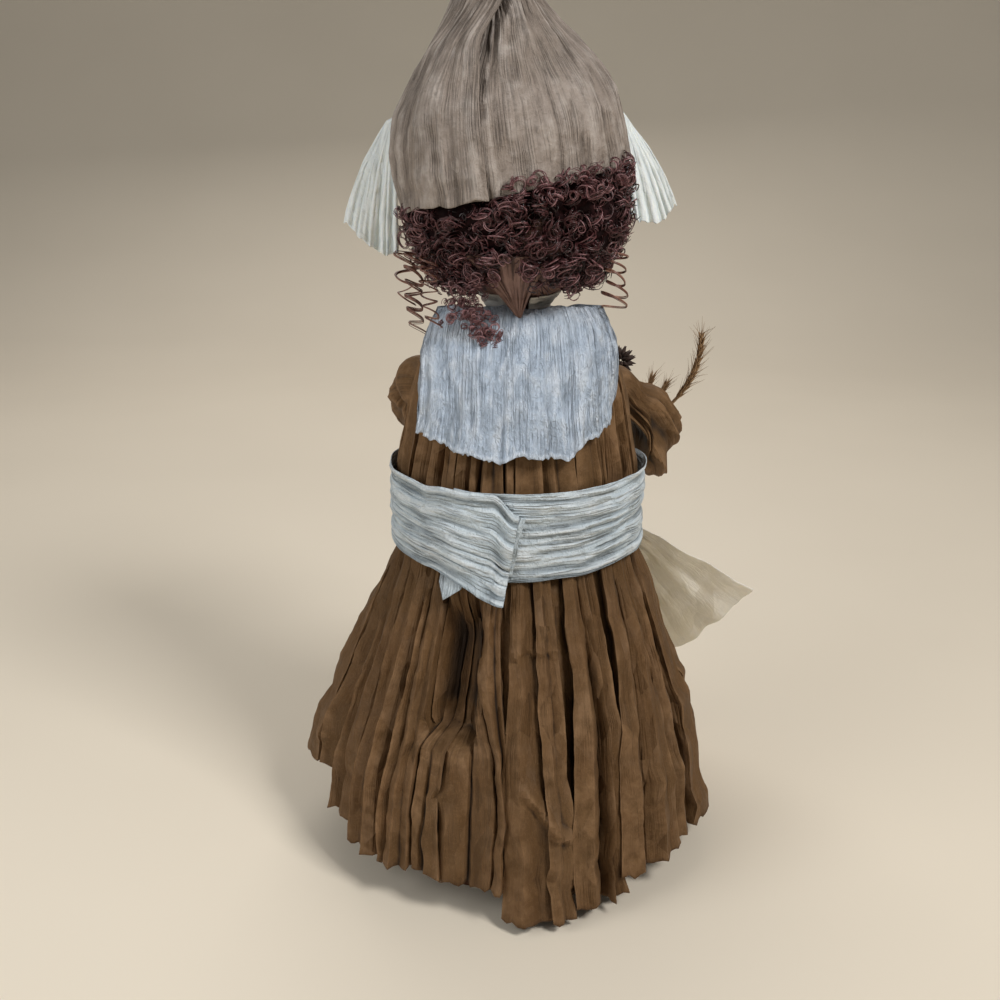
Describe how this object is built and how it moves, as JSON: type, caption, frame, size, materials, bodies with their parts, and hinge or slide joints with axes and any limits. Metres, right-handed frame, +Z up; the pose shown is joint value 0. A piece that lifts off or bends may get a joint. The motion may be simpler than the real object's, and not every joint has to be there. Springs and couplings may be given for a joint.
{
  "type": "crepe paper doll",
  "caption": "Free-standing crepe paper doll on a foam cone, with a cap, curled hair, a collar, a sash, a pleated skirt, wire arms and a sheaf of dried grass.",
  "frame": {"origin": "centre of the foam cone's flat underside, on the surface that the doll stands on", "axes": "+Z up along the cone's axis; the doll faces -Y and its own left hand is on +X"},
  "size_m": [0.2001, 0.1652, 0.3615],
  "materials": {
    "foam": "matt foam",
    "wood": "plain sanded",
    "wire": "dull drawn",
    "string": "twisted",
    "brown_paper": "crinkled",
    "padded_brown_paper": "crinkled over padding",
    "dark_paper": "crinkled",
    "cap_paper": "finely crinkled",
    "white_paper": "crinkled",
    "apron_paper": "thin, lets light through",
    "skin_paper": "smooth",
    "hair": "glossy curls",
    "grass": "dry",
    "flower": "dry"
  },
  "bodies": {
    "torso": {"foam_cone": "foam", "neck_dowel": "wood", "shoulder_wire": "wire", "underskirt": "dark_paper", "skirt": "brown_paper", "bodice": "padded_brown_paper", "waist_string": "string", "apron": "apron_paper", "sash": "white_paper", "collar": "white_paper", "neck_band": "white_paper"},
    "head": {"head_ball": "foam", "head_cover": "skin_paper", "neck_string": "string", "wig": "hair", "ringlet_left_back": "hair", "ringlet_left_side": "hair", "ringlet_left_front": "hair", "ringlet_right_side": "hair", "cap": "cap_paper", "bonnet_band": "white_paper"},
    "left_upper_arm": {"left_upper_sleeve": "padded_brown_paper", "left_upper_wire": "wire"},
    "left_forearm": {"left_fore_sleeve": "padded_brown_paper", "left_fore_wire": "wire", "left_hand": "skin_paper"},
    "right_upper_arm": {"right_upper_sleeve": "padded_brown_paper", "right_upper_wire": "wire"},
    "right_forearm": {"right_fore_sleeve": "padded_brown_paper", "right_fore_wire": "wire", "right_hand": "skin_paper", "grass_spike_1": "grass", "grass_spike_2": "grass", "grass_spike_3": "grass", "grass_ear": "grass", "dried_flower": "flower", "sheaf_string": "string"}
  },
  "joints": [
    {"name": "head_turn", "type": "hinge", "parent": "torso", "child": "head", "pos_m": [0, 0, 0.265], "axis": [0, 0, 1], "range_deg": [-30, 30]},
    {"name": "left_shoulder", "type": "hinge", "parent": "torso", "child": "left_upper_arm", "pos_m": [0.038, -0.01, 0.192], "axis": [-1, 0, 0], "range_deg": [-5, 30]},
    {"name": "left_elbow", "type": "hinge", "parent": "left_upper_arm", "child": "left_forearm", "pos_m": [0.045, -0.046, 0.172], "axis": [-0.0931, 0.4696, -0.8779], "range_deg": [-20, 15]},
    {"name": "right_shoulder", "type": "hinge", "parent": "torso", "child": "right_upper_arm", "pos_m": [-0.038, -0.01, 0.192], "axis": [-1, 0, 0], "range_deg": [-5, 30]},
    {"name": "right_elbow", "type": "hinge", "parent": "right_upper_arm", "child": "right_forearm", "pos_m": [-0.059, -0.032, 0.162], "axis": [-0.5481, -0.4437, 0.7091], "range_deg": [-20, 15]}
  ]
}
